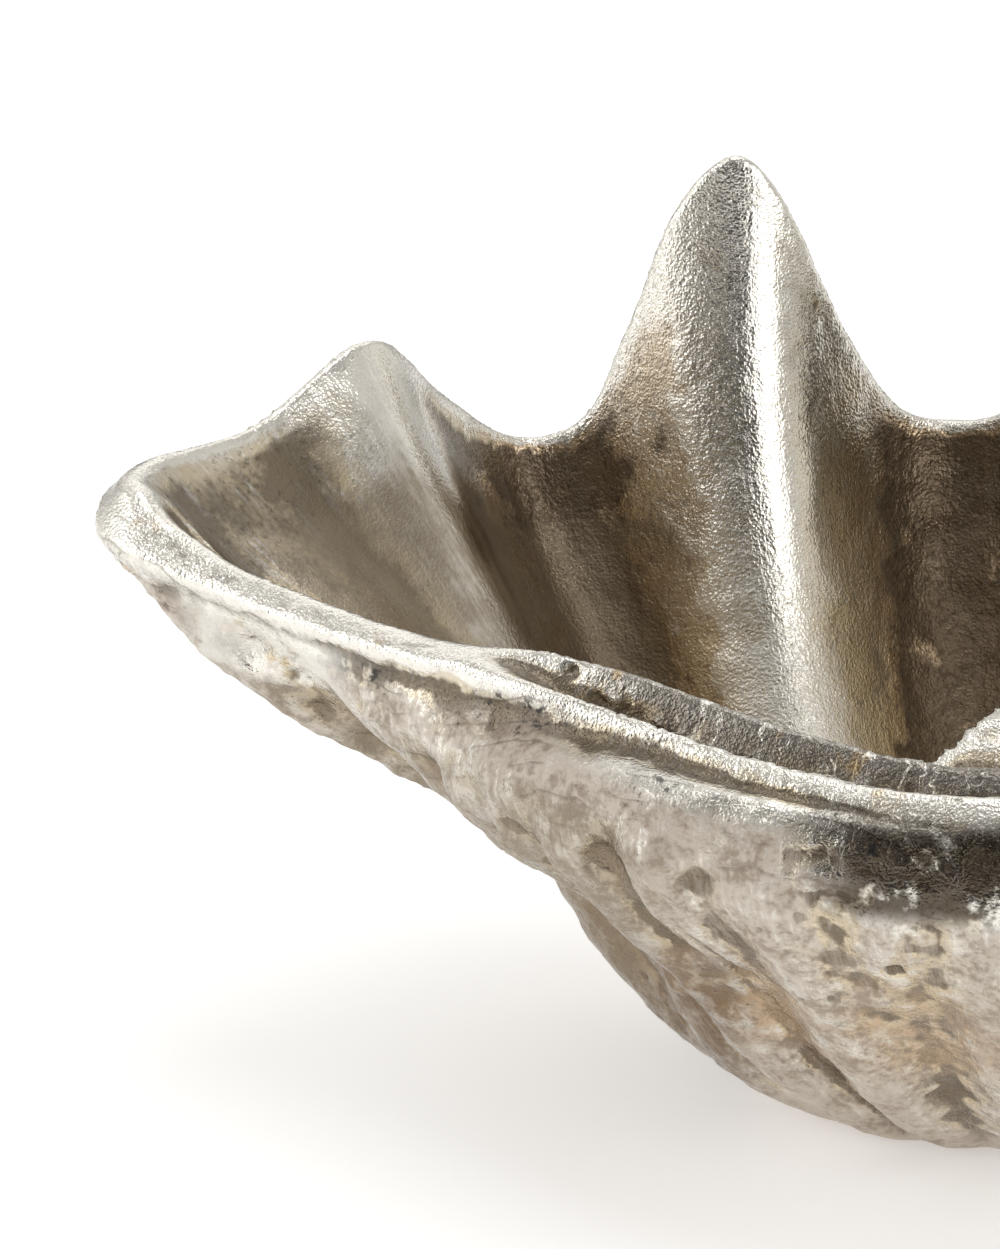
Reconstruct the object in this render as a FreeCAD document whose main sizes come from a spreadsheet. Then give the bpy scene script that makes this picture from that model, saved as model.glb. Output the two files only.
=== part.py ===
"""Giant clam shell ornament: one valve cast in resin and gilded with silver leaf, on four bumper pads.

Millimetres, +Z up. X runs along the shell, the hinge side faces -Y and the scalloped margin is at the back.
The origin is the middle of the footprint, on the surface that the pads stand on.
"""

import FreeCAD, Part
import math
import os
import Sketcher

from FreeCAD import Vector

# ---------------------------------------------------------------- driving dimensions

SIZES = {
    # over all, the height with the pads on
    "shell_length": 550,
    "shell_depth": 361,
    "shell_height": 261,
    # walls of the casting, and lips of its margin
    "wall_thickness": 9,
    "margin_thickness": 5,
    "wing_thickness": 12,
    "tip_thickness": 25,
    "hinge_thickness": 21,
    # hinge: the ligament groove, the ridge behind it, and the tooth beside the beak
    "groove_drop": 16,
    "ridge_rise": 5,
    "tooth_rise": 52,
    "tooth_swell": 12,
    # outside: the scalloped cheek under the hinge, and the furrows between the ribs
    "cheek_swell": 15,
    "scallop_pitch": 29,
    "scallop_relief": 8,
    "furrow_depth": 11,
    # the ground seat and the pads stuck to it
    "seat_cut": 8,
    "pad_diameter": 16,
    "pad_thickness": 3,
    "pad_edge": 1,
    "pad_spacing_x": 60,
    "pad_spacing_y": 56,
    "pad_centre_x": 8,
    "pad_centre_y": -7,
}

# The margin of the master pattern, from the beak round the left wing, the back and the right wing:
# x, y, z of the middle of the lip, and the lip's kind.
PATTERN_LENGTH = 550.0
PATTERN_DEPTH = 361.0
PATTERN_HEIGHT = 261.0
MARGIN = [
    (-5, -150, 148, "hinge"),
    (-34, -145, 148, "hinge"),
    (-75, -130, 153, "hinge"),
    (-112, -111, 160, "hinge"),
    (-142, -97, 164, "hinge"),
    (-172, -83, 163.5, "wing"),
    (-205, -62, 166, "wing"),
    (-242, -36, 171.5, "wing"),
    (-274, -12, 183, "tip"),
    (-270, 12, 190, "wing"),
    (-240, 56, 191, "margin"),
    (-208, 92, 210, "margin"),
    (-189, 122, 186, "margin"),
    (-167, 148, 164, "margin"),
    (-143, 152, 169, "margin"),
    (-126, 146, 207, "margin"),
    (-112, 140, 244, "margin"),
    (-94, 138, 261, "margin"),
    (-79, 142, 244, "margin"),
    (-61, 156, 200, "margin"),
    (-44, 176, 169, "margin"),
    (-26, 184, 162, "margin"),
    (-6, 178, 168, "margin"),
    (12, 160, 204, "margin"),
    (27, 148, 246, "margin"),
    (42, 145, 262, "margin"),
    (57, 146, 246, "margin"),
    (76, 154, 205, "margin"),
    (94, 166, 172, "margin"),
    (112, 166, 167, "margin"),
    (130, 148, 188, "margin"),
    (144, 128, 220, "margin"),
    (157, 115, 236, "margin"),
    (174, 110, 222, "margin"),
    (192, 108, 188, "margin"),
    (211, 98, 171, "margin"),
    (227, 76, 180, "margin"),
    (240, 50, 199, "margin"),
    (254, 24, 192, "wing"),
    (262, -8, 184, "tip"),
    (240, -38, 174, "wing"),
    (206, -64, 168, "wing"),
    (166, -90, 166, "hinge"),
    (120, -116, 160, "hinge"),
    (76, -136, 153, "hinge"),
    (32, -149, 148, "hinge"),
]

# Along the hinge side, by the pattern's x: shares of the groove, the tooth and the cheek.
GROOVE = [(-160, 0.0), (-118, 0.7), (-80, 1.0), (55, 1.0), (110, 0.1), (140, 0.0)]
TOOTH = [(-70, 0.0), (-46, 0.12), (-31, 0.5), (-14, 0.9), (0, 1.0), (32, 1.0), (72, 0.3), (105, 0.0)]
CHEEK = [
    (-285, 0.4), (-268, 0.6), (-254, 0.75), (-240, 0.2), (-224, 0.1), (-212, 0.6), (-190, 0.85),
    (-150, 1.1), (-120, 1.25), (-85, 1.1), (-50, 0.5), (0, 0.2),
    (50, 0.5), (110, 0.9), (200, 0.9), (225, 0.4), (275, 0.6),
]
HINGE_END = 10.0  # the pattern's y where these features have faded out
HINGE_FADE = 30.0  # how far before that they start to fade

# The wall from the middle of the belly up to the lip, as (share of the way out, share of the way up),
# towards a wing, towards the back and towards the beak.
WING_WALL = [
    (0, 0), (0.17, 0), (0.285, 0.05), (0.375, 0.13), (0.435, 0.27),
    (0.475, 0.42), (0.56, 0.57), (0.73, 0.71), (0.90, 0.87),
]
BACK_WALL = [
    (0, 0), (0.20, 0), (0.40, 0.04), (0.58, 0.13), (0.73, 0.27),
    (0.85, 0.43), (0.93, 0.60), (0.98, 0.77), (1.00, 0.90),
]
BEAK_WALL = [
    (0, 0), (0.22, 0), (0.41, 0.09), (0.61, 0.21), (0.80, 0.36),
    (0.97, 0.53), (1.07, 0.68), (1.10, 0.80), (1.06, 0.91),
]
# Ring by ring up the wall: how far the margin's folds, the furrows, the cheek and its scallops are felt.
FOLD_REACH = [0, 0, 0.10, 0.24, 0.42, 0.58, 0.74, 0.87, 0.97]
FURROW_REACH = [0, 0, 0.3, 0.85, 1.0, 0.8, 0.25, 0, 0]
CHEEK_REACH = [0, 0, 0, 0, 0, 0, 0.5, 1.05, 1.1]
SCALLOP_REACH = [0, 0, 0, 0, 0, 0.5, 1.0, 0.45, 0]
# How much of the ground seat's depth is added inside, so that the floor keeps its thickness.
FLOOR_REACH = [1, 1, 0.75, 0.35, 0.1, 0, 0, 0, 0]
# Each furrow's bearing from the belly, and its half width, in degrees.
FURROWS = [(207, 7), (231, 5), (256, 7), (286, 7), (318, 7), (338, 6)]

# A rounded lip, as (outwards, upwards) in half thicknesses, from the outside over the top to the inside.
LIP = [
    (1.0, -1.4), (1.03, -0.8), (1.0, -0.25), (0.88, 0.1), (0.6, 0.2), (0.3, 0.22), (0.0, 0.24),
    (-0.3, 0.22), (-0.6, 0.18), (-0.88, 0.05), (-1.0, -0.3), (-1.0, -0.8), (-1.0, -1.4),
]
# The hinge's lip, the same way round: the outer lip, the groove, the ridge behind it.
# Outwards is in half thicknesses, upwards in millimetres, groove drops and ridge rises.
HINGE_LIP = [
    (1.1, (-16, 0, 0)), (1.1, (-10, 0, 0)), (1.05, (-6, 0, 0)), (0.85, (-5, 0, 0)),
    (0.6, (-5, -0.3, 0)), (0.4, (0, -1.05, 0)), (0.0, (0, -1.15, 0)), (-0.25, (0, -0.8, 0)),
    (-0.3, (0, 0, 1.2)), (-0.45, (0, 0, 1.35)), (-0.8, (0, 0, 1.25)), (-1.0, (-2, 0, 0)),
    (-1.05, (-14, 0, 0)),
]

BELLY_X, BELLY_Y = 2.0, -18.0  # the middle of the pattern's belly
BACK_REACH, BEAK_REACH, WING_REACH = 184.0, 134.0, 268.0  # from there to the unfolded margin
BEAK_RIM, WING_RIM = 148.0, 184.0  # height of the unfolded margin
COLUMNS = 180
DEGREE = 3


# ---------------------------------------------------------------- document and checks

def make_sheet(doc):
    sheet = doc.addObject("Spreadsheet::Sheet", "Sizes")
    for row, (alias, value) in enumerate(SIZES.items(), start=1):
        sheet.set(f"A{row}", alias)
        sheet.set(f"B{row}", str(value))
        sheet.setAlias(f"B{row}", alias)
    doc.recompute()
    return sheet


def check_document(doc, subparts):
    for item in doc.Objects:
        if "Invalid" in item.State or "Error" in item.State:
            raise RuntimeError(f"{item.Label} failed: {item.State}")
    for item in subparts:
        if item.Shape.isNull() or not item.Shape.isValid():
            raise RuntimeError(f"{item.Label} has no valid shape")


# ---------------------------------------------------------------- small sums

def blend(a, b, share):
    return a + (b - a) * share


def clamp(value):
    return min(1.0, max(0.0, value))


def look_up(table, x):
    """The value of a table of (x, value) at x, straight between its rows."""
    if x <= table[0][0]:
        return table[0][1]
    for (x0, value0), (x1, value1) in zip(table, table[1:]):
        if x <= x1:
            return blend(value0, value1, (x - x0) / (x1 - x0))
    return table[-1][1]


def catmull_rom(p0, p1, p2, p3, share):
    """A point on the smooth curve from p1 to p2."""
    return 0.5 * (
        2 * p1
        + (p2 - p0) * share
        + (2 * p0 - 5 * p1 + 4 * p2 - p3) * share**2
        + (3 * p1 - p0 - 3 * p2 + p3) * share**3
    )


# ---------------------------------------------------------------- the margin

class Station:
    """One of the evenly spaced places along the margin."""

    def __init__(self, lip, half, along, stretch):
        self.lip = lip
        self.half = half
        self.along = along
        self.stretch = stretch
        sx, sy, sz = stretch
        x, y = lip.x / sx, lip.y / sy
        hinge = clamp((HINGE_END - y) / HINGE_FADE)
        self.groove = look_up(GROOVE, x) * hinge
        self.tooth = look_up(TOOTH, x) * hinge
        self.cheek = look_up(CHEEK, x) * hinge
        reach_y = BACK_REACH if y > BELLY_Y else BEAK_REACH
        self.bearing = math.atan2((y - BELLY_Y) / reach_y, (x - BELLY_X) / WING_REACH)
        self.back = max(0.0, math.sin(self.bearing))
        self.beak = max(0.0, -math.sin(self.bearing)) ** 2
        self.belly = Vector(BELLY_X * sx, BELLY_Y * sy, 0)
        self.unfolded = Vector(
            self.belly.x + WING_REACH * sx * math.cos(self.bearing),
            self.belly.y + reach_y * sy * math.sin(self.bearing),
            blend(WING_RIM, BEAK_RIM, self.beak) * sz,
        )

    def wall_middle(self):
        """Points up the middle of the wall, from the belly to the lip."""
        fold = self.lip - self.unfolded
        points = []
        for wing, back, beak, reach in zip(WING_WALL, BACK_WALL, BEAK_WALL, FOLD_REACH):
            out, up = (
                w * (1 - self.back - self.beak) + b * self.back + k * self.beak
                for w, b, k in zip(wing, back, beak)
            )
            points.append(Vector(
                blend(self.belly.x, self.unfolded.x, out) + fold.x * reach,
                blend(self.belly.y, self.unfolded.y, out) + fold.y * reach,
                self.unfolded.z * up + fold.z * reach**1.5,
            ))
        return points + [self.lip]

    def furrow(self):
        """How deep in a furrow the outside is here, as a share."""
        run = self.unfolded - self.belly
        degrees = math.degrees(math.atan2(run.y, run.x)) % 360
        return sum(math.exp(-(((degrees - middle) / width) ** 2)) for middle, width in FURROWS)

    def lip_section(self, sheet):
        """The lip's outline, as (outwards, upwards), from the outside to the inside."""
        section = []
        for (out, up), (hinge_out, (rise, drops, ridges)) in zip(LIP, HINGE_LIP):
            hinge_up = rise + drops * sheet.groove_drop + ridges * sheet.ridge_rise
            section.append((
                blend(out, hinge_out, self.groove) * self.half,
                blend(up * self.half, hinge_up, self.groove),
            ))
        out, up = section[-1]
        section[-1] = (
            out - 0.75 * sheet.tooth_swell * self.tooth,
            up + (sheet.tooth_rise + sheet.tooth_swell) * self.tooth,
        )
        return section


def sample_margin(sheet):
    stretch = (
        sheet.shell_length / PATTERN_LENGTH,
        sheet.shell_depth / PATTERN_DEPTH,
        sheet.shell_height / PATTERN_HEIGHT,
    )
    halves = {
        "hinge": sheet.hinge_thickness / 2,
        "tip": sheet.tip_thickness / 2,
        "wing": sheet.wing_thickness / 2,
        "margin": sheet.margin_thickness / 2,
    }
    points = [Vector(x * stretch[0], y * stretch[1], z * stretch[2]) for x, y, z, _ in MARGIN]
    thick = [halves[kind] for *_, kind in MARGIN]
    count = len(points)
    spans = [(points[(k + 1) % count] - points[k]).Length for k in range(count)]
    step = sum(spans) / COLUMNS
    stations = []
    key, done = 0, 0.0
    for column in range(COLUMNS):
        along = column * step
        while along > done + spans[key]:
            done += spans[key]
            key += 1
        share = (along - done) / spans[key]
        around = [points[(key + n) % count] for n in (-1, 0, 1, 2)]
        half = blend(thick[key], thick[(key + 1) % count], share)
        stations.append(Station(catmull_rom(*around, share), half, along, stretch))
    return stations


# ---------------------------------------------------------------- the casting's skin

def skin_rings(sheet):
    """Rings of control points from the belly's underside, over the lip, to the bottom of the bowl."""
    stations = sample_margin(sheet)
    walls = [station.wall_middle() for station in stations]
    rings = len(FOLD_REACH)
    outer = [[] for _ in range(rings)]
    inner = [[] for _ in range(rings)]
    lips = [[] for _ in LIP]
    for column, station in enumerate(stations):
        before, after = column - 1, (column + 1) % COLUMNS
        wall = walls[column]
        furrow = station.furrow() * sheet.furrow_depth
        scallop = math.cos(2 * math.pi * station.along / sheet.scallop_pitch) * sheet.scallop_relief
        for ring in range(rings):
            if ring == 0:
                normal = Vector(0, 0, -1)
            else:
                upwards = wall[ring + 1] - wall[ring - 1]
                normal = upwards.cross(walls[after][ring] - walls[before][ring]).normalize()
            share = (ring / rings) ** 3
            half = blend(sheet.wall_thickness / 2, max(station.half, sheet.margin_thickness / 2), share)
            swell = station.cheek * (sheet.cheek_swell * CHEEK_REACH[ring] + scallop * SCALLOP_REACH[ring])
            outer[ring].append(wall[ring] + normal * (half + swell - furrow * FURROW_REACH[ring]))
            floor = sheet.seat_cut * FLOOR_REACH[ring] + sheet.tooth_swell * station.tooth * share
            inner[ring].append(wall[ring] - normal * (half + floor))
        along_lip = (stations[after].lip - stations[before].lip).normalize()
        growth = (station.lip - wall[-2]).normalize()
        outwards = growth.cross(along_lip).normalize()
        growth = along_lip.cross(outwards).normalize()
        for index, (out, up) in enumerate(station.lip_section(sheet)):
            lips[index].append(station.lip + outwards * out + growth * up)
    return outer + lips + inner[::-1]


def make_skin(rings):
    """One closed B-spline skin through the rings' control points."""
    inner_knots = len(rings) - DEGREE + 1
    skin = Part.BSplineSurface()
    skin.buildFromPolesMultsKnots(
        [[ring[column] for ring in rings] for column in range(COLUMNS)],
        [1] * (COLUMNS + 1),
        [DEGREE + 1] + [1] * (inner_knots - 2) + [DEGREE + 1],
        [float(k) for k in range(COLUMNS + 1)],
        [float(k) for k in range(inner_knots)],
        True,
        False,
        DEGREE,
        DEGREE,
    )
    return skin


def extents(skin, rings):
    """The smallest and largest x, y and z of a skin, from a fine grid of points on it."""
    across = [k / 3 for k in range(3 * (rings - DEGREE) + 1)]
    points = [skin.value(k / 2, v) for k in range(2 * COLUMNS) for v in across]
    low = Vector(min(p.x for p in points), min(p.y for p in points), min(p.z for p in points))
    high = Vector(max(p.x for p in points), max(p.y for p in points), max(p.z for p in points))
    return low, high


def make_casting_blank(doc, sheet):
    """The cast valve before its underside is ground, brought to its overall sizes about the origin."""
    rings = skin_rings(sheet)
    low, high = extents(make_skin(rings), len(rings))
    foot = sheet.pad_thickness - sheet.seat_cut
    scale_x = sheet.shell_length / (high.x - low.x)
    scale_y = sheet.shell_depth / (high.y - low.y)
    scale_z = (sheet.shell_height - foot) / (high.z - low.z)
    middle = (low + high) / 2
    fitted = [
        [
            Vector((p.x - middle.x) * scale_x, (p.y - middle.y) * scale_y, (p.z - low.z) * scale_z + foot)
            for p in ring
        ]
        for ring in rings
    ]
    solid = Part.Solid(Part.Shell([make_skin(fitted).toShape()]))
    if solid.Volume < 0:
        solid.reverse()
    blank = doc.addObject("Part::Feature", "casting_blank")
    blank.Shape = solid
    return blank


def make_casting(doc, sheet):
    """Grinds the seat flat at the pads' height."""
    blank = make_casting_blank(doc, sheet)
    block = doc.addObject("Part::Box", "grinding_block")
    block.setExpression("Length", "Sizes.shell_length * 2")
    block.setExpression("Width", "Sizes.shell_depth * 2")
    block.setExpression("Height", "Sizes.shell_height")
    block.setExpression("Placement.Base.x", "-Sizes.shell_length")
    block.setExpression("Placement.Base.y", "-Sizes.shell_depth")
    block.setExpression("Placement.Base.z", "Sizes.pad_thickness - Sizes.shell_height")
    casting = doc.addObject("Part::Cut", "shell_casting")
    casting.Base = blank
    casting.Tool = block
    casting.Label = "shell_casting"
    doc.recompute()
    return casting


# ---------------------------------------------------------------- the pads

def origin_plane(body, role):
    return next(item for item in body.Origin.OriginFeatures if item.Role == role)


def make_pad(doc, number, side_x, side_y):
    """A round stick-on bumper, rounded at its foot."""
    body = doc.addObject("PartDesign::Body", f"bumper_pad_{number}")
    body.Label = f"bumper_pad_{number}"
    sketch = body.newObject("Sketcher::SketchObject", f"pad_{number}_outline")
    sketch.AttachmentSupport = (origin_plane(body, "XY_Plane"), [""])
    sketch.MapMode = "FlatFace"
    outline = Part.Circle(Vector(0, 0, 0), Vector(0, 0, 1), SIZES["pad_diameter"] / 2)
    circle = sketch.addGeometry(outline, False)
    sketch.addConstraint(Sketcher.Constraint("Coincident", circle, 3, -1, 1))
    diameter = sketch.addConstraint(Sketcher.Constraint("Diameter", circle, SIZES["pad_diameter"]))
    sketch.setExpression(f"Constraints[{diameter}]", "Sizes.pad_diameter")
    disc = body.newObject("PartDesign::Pad", f"pad_{number}_disc")
    disc.Profile = sketch
    disc.setExpression("Length", "Sizes.pad_thickness")
    doc.recompute()
    foot = next(
        f"Edge{n}" for n, edge in enumerate(disc.Shape.Edges, start=1)
        if edge.BoundBox.ZMax < 0.001
    )
    rounding = body.newObject("PartDesign::Fillet", f"pad_{number}_foot")
    rounding.Base = (disc, [foot])
    rounding.setExpression("Radius", "Sizes.pad_edge")
    body.Tip = rounding
    body.setExpression("Placement.Base.x", f"Sizes.pad_centre_x + ({side_x}) * Sizes.pad_spacing_x / 2")
    body.setExpression("Placement.Base.y", f"Sizes.pad_centre_y + ({side_y}) * Sizes.pad_spacing_y / 2")
    doc.recompute()
    return body


# ---------------------------------------------------------------- build and write

def main():
    doc = FreeCAD.newDocument("clam_shell")
    sheet = make_sheet(doc)
    casting = make_casting(doc, sheet)
    corners = [(-1, -1), (1, -1), (1, 1), (-1, 1)]
    pads = [make_pad(doc, number, *corner) for number, corner in enumerate(corners, start=1)]
    subparts = [casting, *pads]
    doc.recompute()
    check_document(doc, subparts)
    os.makedirs("parts", exist_ok=True)
    for item in subparts:
        item.Shape.exportStep(f"parts/{item.Label}.step")
        box = item.Shape.BoundBox
        print(
            f"{item.Label}: {len(item.Shape.Solids)} solid, {item.Shape.Volume / 1000:.1f} cm3, "
            f"{box.XLength:.1f} x {box.YLength:.1f} x {box.ZLength:.1f} mm"
        )


main()
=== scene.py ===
# %% [markdown]
# # A clam shell gilded with silver leaf
#
# The real thing is an ornament: one valve of a giant clam, cast in resin in one
# piece, covered with silver leaf, rubbed back and toned, and set on four small
# bumper pads. Its measured solids come from the CAD model and stay as they are.
# What Blender adds is the surface: growth layers, scallops, pits and chips in the
# casting, and a metal finish that is bright on the crests and brown in the hollows.

# %% Load the measured frame
import math

import bpy
import numpy as np
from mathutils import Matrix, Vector


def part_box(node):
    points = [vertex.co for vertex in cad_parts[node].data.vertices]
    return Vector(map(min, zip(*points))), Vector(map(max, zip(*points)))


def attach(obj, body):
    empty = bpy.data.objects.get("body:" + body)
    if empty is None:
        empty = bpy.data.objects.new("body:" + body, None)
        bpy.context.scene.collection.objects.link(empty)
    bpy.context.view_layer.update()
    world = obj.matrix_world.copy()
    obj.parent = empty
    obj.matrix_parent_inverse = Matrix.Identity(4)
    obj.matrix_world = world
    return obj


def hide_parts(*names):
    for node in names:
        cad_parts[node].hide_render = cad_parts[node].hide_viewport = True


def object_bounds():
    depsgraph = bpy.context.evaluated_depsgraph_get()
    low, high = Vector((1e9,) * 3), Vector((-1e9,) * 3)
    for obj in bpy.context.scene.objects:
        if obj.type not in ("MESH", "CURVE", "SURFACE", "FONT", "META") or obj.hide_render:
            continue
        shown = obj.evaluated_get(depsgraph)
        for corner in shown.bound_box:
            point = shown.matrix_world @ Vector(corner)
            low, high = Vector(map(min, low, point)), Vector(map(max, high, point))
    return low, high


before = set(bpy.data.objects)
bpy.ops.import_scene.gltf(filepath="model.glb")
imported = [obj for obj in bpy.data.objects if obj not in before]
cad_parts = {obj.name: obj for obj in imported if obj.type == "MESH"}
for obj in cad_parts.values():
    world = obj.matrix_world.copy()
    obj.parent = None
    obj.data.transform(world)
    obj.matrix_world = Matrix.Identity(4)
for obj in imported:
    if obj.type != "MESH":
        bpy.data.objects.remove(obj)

MM = 0.001
cad_low, cad_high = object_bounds()
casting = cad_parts["shell_casting"]
print("cad box, mm:", [round(v / MM, 1) for v in (*cad_low, *cad_high)])

# %% [markdown]
# ## The camera
#
# A long lens stands far in front of the hinge and looks down on the left half of
# the shell. A long lens far away keeps the wings and the back in true proportion,
# where a short one close by would swell the hinge.

# %% Set up the camera
eye = Vector((0.0063, -2.3007, 0.848))
aim = Vector((-0.1527, -0.0057, 0.146))
lens = bpy.data.cameras.new("camera")
lens.lens = 228.8
lens.sensor_width = 36.0
camera = bpy.data.objects.new("camera", lens)
camera.location = eye
camera.rotation_mode = "QUATERNION"
camera.rotation_quaternion = (aim - eye).to_track_quat("-Z", "Y")
bpy.context.collection.objects.link(camera)
bpy.context.scene.camera = camera
bpy.context.scene.view_settings.view_transform = "Standard"
print("camera distance, m:", round((aim - eye).length, 2))

# %% [markdown]
# ## The node board
#
# Materials and geometry trees are both boards of nodes joined by wires. Making each
# node by hand is long and hard to read, so one small class wraps a node's output:
# a sum written in Python, such as 1 - mask, puts the Math node on the board. Any
# other node comes from one method that takes its type, settings and inputs.

# %% Wrap a node tree for easy writing
class Wire:
    """A node's output. Each operator adds one Math node to its board."""

    def __init__(self, board, socket):
        self.board = board
        self.socket = socket

    def math(self, operation, first, second):
        return self.board.add("ShaderNodeMath", {"operation": operation}, Value=first, Value_001=second)

    def __add__(self, other):
        return self.math("ADD", self, other)

    def __radd__(self, other):
        return self.math("ADD", other, self)

    def __sub__(self, other):
        return self.math("SUBTRACT", self, other)

    def __rsub__(self, other):
        return self.math("SUBTRACT", other, self)

    def __mul__(self, other):
        return self.math("MULTIPLY", self, other)

    def __rmul__(self, other):
        return self.math("MULTIPLY", other, self)

    def __truediv__(self, other):
        return self.math("DIVIDE", self, other)

    def __rtruediv__(self, other):
        return self.math("DIVIDE", other, self)

    def __pow__(self, other):
        return self.math("POWER", self, other)

    def __neg__(self):
        return self.math("MULTIPLY", self, -1.0)


class Board:
    """A node tree that nodes are added to, with their settings first and then their inputs."""

    def __init__(self, tree):
        self.tree = tree

    def socket(self, sockets, name):
        for socket in sockets:
            if socket.identifier == name:
                return socket
        return next(socket for socket in sockets if socket.enabled and socket.name == name)

    def node(self, kind, settings=None, **inputs):
        node = self.tree.nodes.new(kind)
        for name, value in (settings or {}).items():
            setattr(node, name, value)
        for name, value in inputs.items():
            socket = self.socket(node.inputs, name)
            if isinstance(value, Wire):
                self.tree.links.new(value.socket, socket)
            else:
                socket.default_value = value
        return node

    def add(self, kind, settings=None, output=0, **inputs):
        node = self.node(kind, settings, **inputs)
        if isinstance(output, str):
            return Wire(self, self.socket(node.outputs, output))
        shown = [socket for socket in node.outputs if socket.enabled]
        return Wire(self, shown[output])


# %% [markdown]
# A few patterns are used again and again, in the casting's relief and in its
# colours: a smooth step between two values, a cloudy noise, and a blend of two
# colours. They are the same nodes in both kinds of tree.

# %% Name the patterns used often
def step(board, value, low, high):
    """0 below low, 1 above high, and smooth between."""
    return board.add(
        "ShaderNodeMapRange", {"interpolation_type": "SMOOTHSTEP"},
        Value=value, **{"From Min": low, "From Max": high},
    )


def fade(board, value, low, high):
    """1 below low, 0 above high, and smooth between."""
    return 1 - step(board, value, low, high)


def band(board, value, low, high, edge):
    """1 between low and high, and fading to 0 over edge on both sides."""
    return step(board, value, low - edge, low + edge) * fade(board, value, high - edge, high + edge)


def cloud(board, place, size, detail=3.0, rough=0.55, seed=0.0):
    """Noise of about 0 to 1 with blobs of this size in millimetres."""
    return board.add(
        "ShaderNodeTexNoise", {"noise_dimensions": "4D"}, output="Fac",
        Vector=place, W=seed, Scale=1.0 / (size * MM), Detail=detail, Roughness=rough,
    )


def mix(board, share, first, second):
    """A blend of two colours."""
    return board.add("ShaderNodeMix", {"data_type": "RGBA"}, Factor=share, A=first, B=second)


def shade(code):
    """A colour written as six hex digits, in Blender's linear values."""
    parts = [int(code[k:k + 2], 16) / 255 for k in (0, 2, 4)]
    return tuple(p / 12.92 if p <= 0.04045 else ((p + 0.055) / 1.055) ** 2.4 for p in parts) + (1.0,)


print("silver as linear values:", [round(v, 2) for v in shade("efebe2")])

# %% [markdown]
# ## The studio
#
# Polished metal shows the room more than itself, so the lights come before the
# finish. A pale floor lights the underside and turns dark well in front. One wide
# softbox on the right and a narrow one on the left leave a dark gap toward the
# camera, and that gap is the dark stripe that runs down the middle of each lobe.

# %% Lay the floor
FLOOR_TURNS_PALE = (-2.1, -0.9)  # metres along the depth, from dark to pale


def plain_mesh(name, points, faces):
    mesh = bpy.data.meshes.new(name)
    mesh.from_pydata(points, [], faces)
    mesh.update()
    made = bpy.data.objects.new(name, mesh)
    bpy.context.collection.objects.link(made)
    return made


floor = plain_mesh(
    "floor",
    [(-6, -6, 0), (6, -6, 0), (6, 6, 0), (-6, 6, 0)],
    [(0, 1, 2, 3)],
)
floor_paint = bpy.data.materials.new("pale_floor")
floor_paint.use_nodes = True
paper = Board(floor_paint.node_tree)
paper.tree.nodes.clear()
on_floor = paper.add("ShaderNodeTexCoord", output="Object")
depth = paper.add("ShaderNodeSeparateXYZ", output="Y", Vector=on_floor)
pale = step(paper, depth, *FLOOR_TURNS_PALE)
floor_shader = paper.add("ShaderNodeBsdfPrincipled", **{
    "Base Color": mix(paper, pale, shade("302f2e"), shade("f7f7f7")), "Roughness": 0.9,
    "Emission Color": mix(paper, pale, shade("000000"), shade("ffffff")), "Emission Strength": 0.33,
})
paper.node("ShaderNodeOutputMaterial", Surface=floor_shader)
floor.data.materials.append(floor_paint)
print("floor, m:", tuple(floor.dimensions)[:2])

# %% [markdown]
# Every softbox is a rectangular lamp turned to face the shell's middle. The wide one
# behind lights the lip's top, and the one overhead lights the bowl's floor.

# %% Hang the softboxes
def softbox(name, place, look_at, width, height, power):
    lamp = bpy.data.lights.new(name, "AREA")
    lamp.shape = "RECTANGLE"
    lamp.size = width
    lamp.size_y = height
    lamp.energy = power
    holder = bpy.data.objects.new(name, lamp)
    holder.location = place
    holder.rotation_mode = "QUATERNION"
    holder.rotation_quaternion = (Vector(look_at) - Vector(place)).to_track_quat("-Z", "Y")
    bpy.context.collection.objects.link(holder)
    return holder


shell_middle = (cad_low + cad_high) / 2
softbox("softbox_right", (1.3, -1.25, 0.62), shell_middle, 1.1, 1.3, 9.5)
softbox("softbox_left", (-1.92, -0.68, 1.0), shell_middle, 1.1, 2.1, 13.0)
softbox("softbox_top", (0.1, -0.1, 2.3), shell_middle, 1.5, 1.3, 11.0)
softbox("light_behind", (-0.3, 2.0, 1.9), shell_middle, 2.8, 1.8, 9.0)

# %% [markdown]
# The room itself is a soft glow on the walls: bright behind and at the sides, dimmer
# overhead, and nearly dark low down in front. It fills the reflections between the
# lamps.

# %% Light the room
world = bpy.data.worlds.new("room")
world.use_nodes = True
bpy.context.scene.world = world
room = Board(world.node_tree)
room.tree.nodes.clear()
ray = room.add("ShaderNodeTexCoord", output="Generated")
ray_x, ray_y, ray_z = (room.add("ShaderNodeSeparateXYZ", output=axis, Vector=ray) for axis in "XYZ")
behind = step(room, ray_y, -0.1, 0.6)
beside = step(room, ray_x * ray_x, 0.4, 0.75)
ceiling = step(room, ray_z, 0.22, 0.5)
glow = (behind * 0.5 + beside * 0.55 + 0.04) * (1 - ceiling * 0.5) + ceiling * 0.42
lit_wall = room.add("ShaderNodeBackground", Color=shade("fdfcfa"), Strength=glow)
room.node("ShaderNodeOutputWorld", Surface=lit_wall)
print("room nodes:", len(room.tree.nodes))

# %% [markdown]
# ## The casting's mesh
#
# The CAD solid arrives as loose triangles, long in some places and tiny in others.
# Relief needs small faces of even size, so a copy is merged, rebuilt as an even
# grid by a voxel remesh, and pulled back onto the true surface by a shrinkwrap.

# %% Rebuild a copy of the casting with even faces
VOXEL = 1.75  # millimetres, the edge of one face
WELD = 0.02  # millimetres, under which two points are one


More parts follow.
